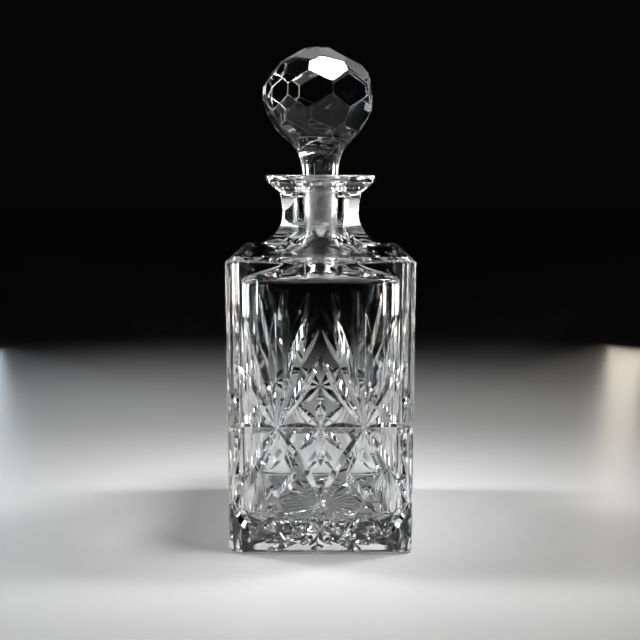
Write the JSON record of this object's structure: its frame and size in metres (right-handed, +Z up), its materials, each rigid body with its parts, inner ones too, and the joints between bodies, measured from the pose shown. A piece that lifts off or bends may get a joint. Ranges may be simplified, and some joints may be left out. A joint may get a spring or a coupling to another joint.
{
  "type": "decanter",
  "caption": "Square cut-crystal decanter with a flared lip and a lift-out faceted ball stopper, for serving spirits.",
  "frame": {"origin": "centre of the bottle's flat foot, on the surface it stands on", "axes": "+Z up along the neck and the stopper; -Y is out of the front side, and the four sides are alike"},
  "size_m": [0.092, 0.092, 0.25],
  "materials": {
    "bottle_crystal": "polished clear lead crystal with mitre cuts",
    "stopper_crystal": "polished clear lead crystal with ground plug"
  },
  "bodies": {
    "bottle": {"decanter_bottle": "bottle_crystal"},
    "stopper": {"ball_stopper": "stopper_crystal"}
  },
  "joints": [
    {"name": "stopper_lift", "type": "slide", "parent": "bottle", "child": "stopper", "axis": [0, 0, 1], "range_m": [0, 0.035]}
  ]
}
